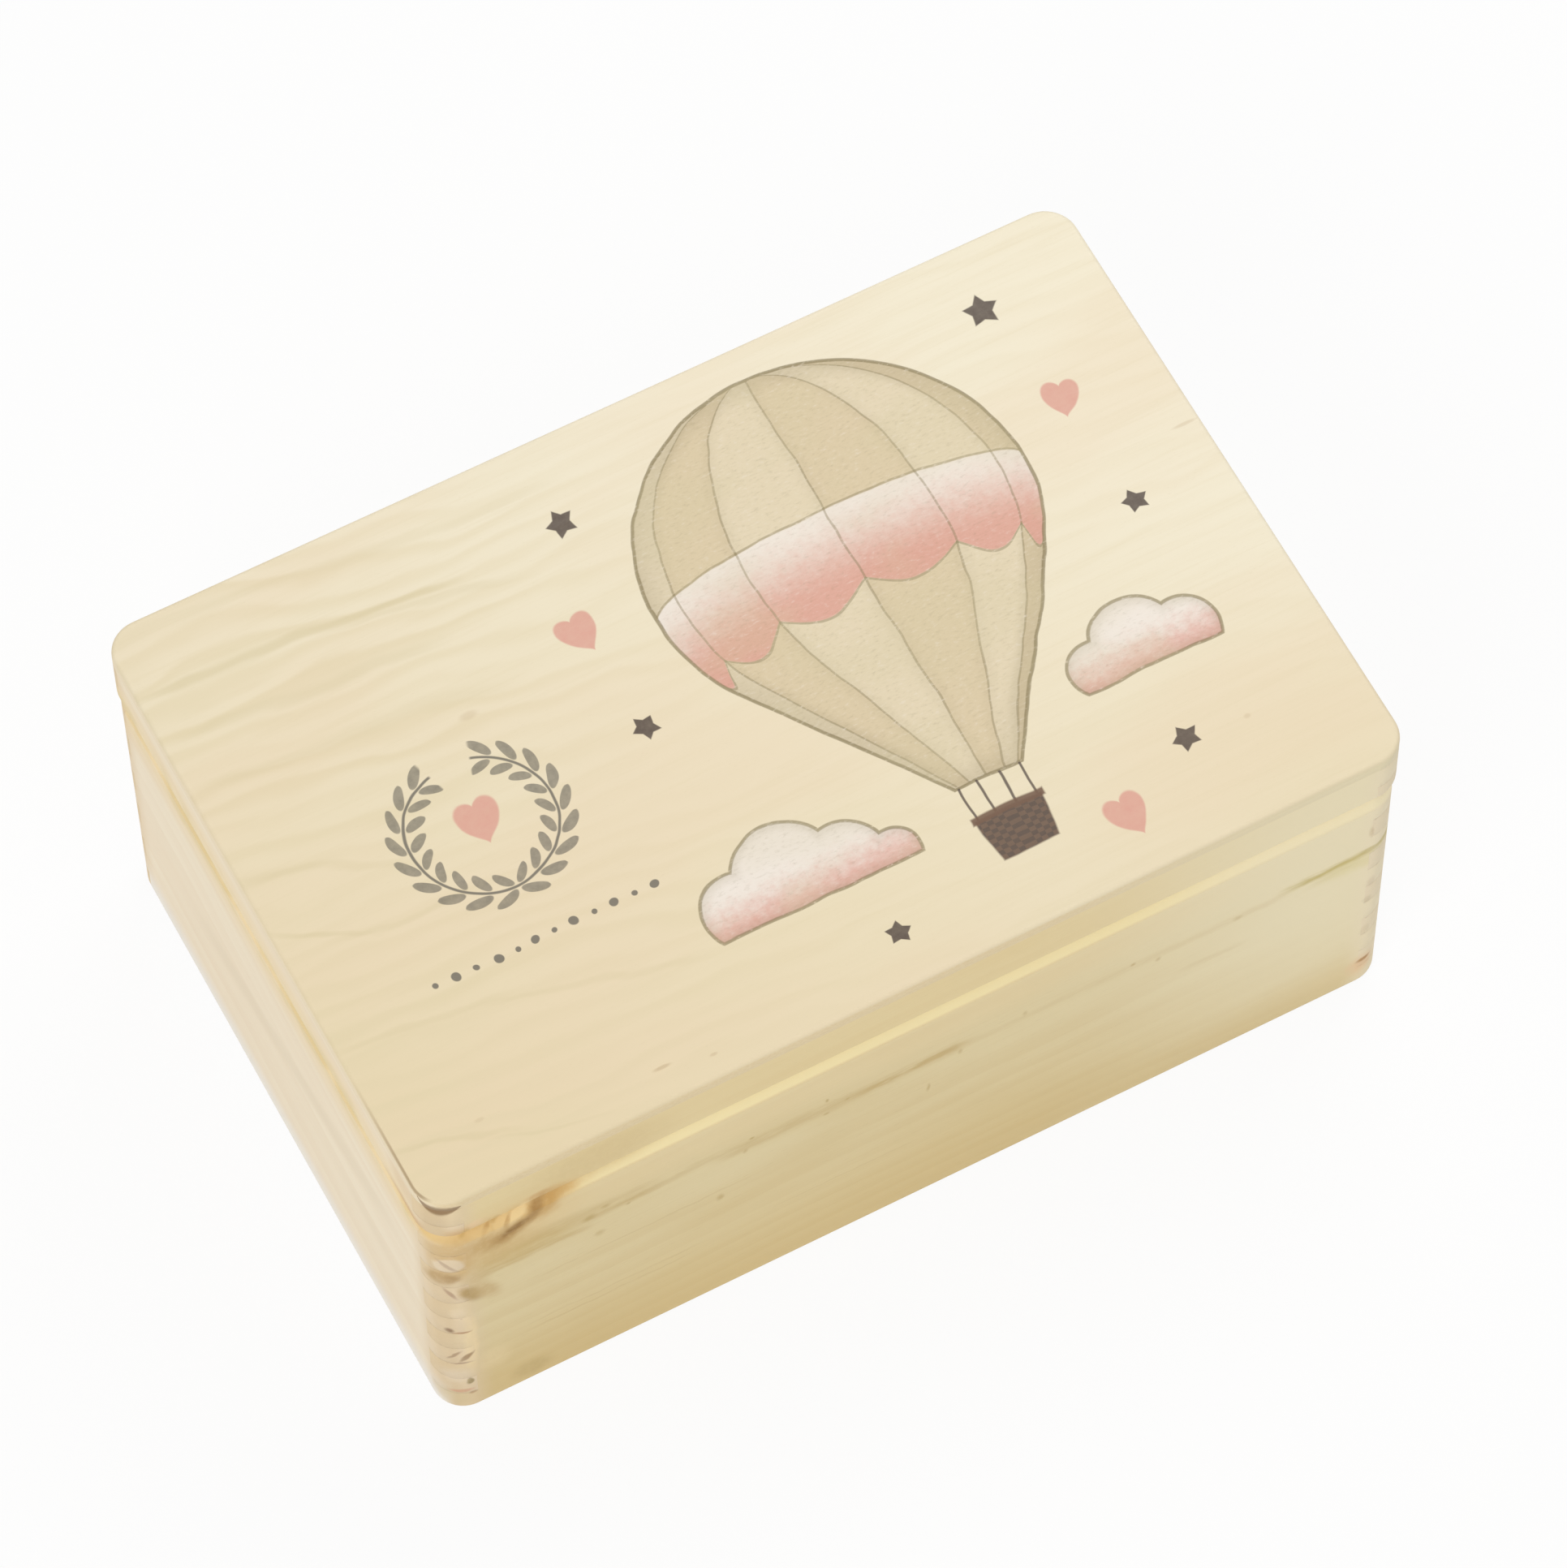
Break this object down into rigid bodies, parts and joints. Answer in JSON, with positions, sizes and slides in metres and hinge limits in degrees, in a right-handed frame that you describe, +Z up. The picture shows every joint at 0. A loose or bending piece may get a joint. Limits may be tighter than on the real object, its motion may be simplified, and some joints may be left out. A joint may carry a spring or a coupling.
{
  "type": "keepsake box",
  "caption": "Rectangular pine keepsake box with rounded finger-jointed corners, a V groove at the seam, and a framed lid that swings up on butt hinges at the back.",
  "frame": {"origin": "centre of the underside, under the middle of the lid's outline", "axes": "+X along the long front towards the right end, +Y from the front to the back where the hinges are, +Z up; the hinge barrels lie within the lid's outline"},
  "size_m": [0.3, 0.2, 0.1308],
  "materials": {
    "pine_case": "sanded, untreated",
    "pine_lid": "sanded, untreated",
    "plywood_top": "sanded, untreated, printed",
    "plywood_bottom": "sanded, untreated",
    "hinge_brass": "brushed",
    "hinge_pin": "drawn wire",
    "screw": "turned"
  },
  "bodies": {
    "case": {"front_wall": "pine_case", "back_wall": "pine_case", "left_wall": "pine_case", "right_wall": "pine_case", "bottom_panel": "plywood_bottom", "left_hinge_case_leaf": "hinge_brass", "right_hinge_case_leaf": "hinge_brass", "left_hinge_pin": "hinge_pin", "right_hinge_pin": "hinge_pin", "left_hinge_case_screws": "screw", "right_hinge_case_screws": "screw"},
    "lid": {"lid_front_rail": "pine_lid", "lid_back_rail": "pine_lid", "lid_left_rail": "pine_lid", "lid_right_rail": "pine_lid", "lid_panel": "plywood_top", "left_hinge_lid_leaf": "hinge_brass", "right_hinge_lid_leaf": "hinge_brass", "left_hinge_lid_screws": "screw", "right_hinge_lid_screws": "screw"}
  },
  "joints": [
    {"name": "lid_hinge", "type": "hinge", "parent": "case", "child": "lid", "pos_m": [0, 0.097, 0.10715], "axis": [-1, 0, 0], "range_deg": [0, 115]}
  ]
}
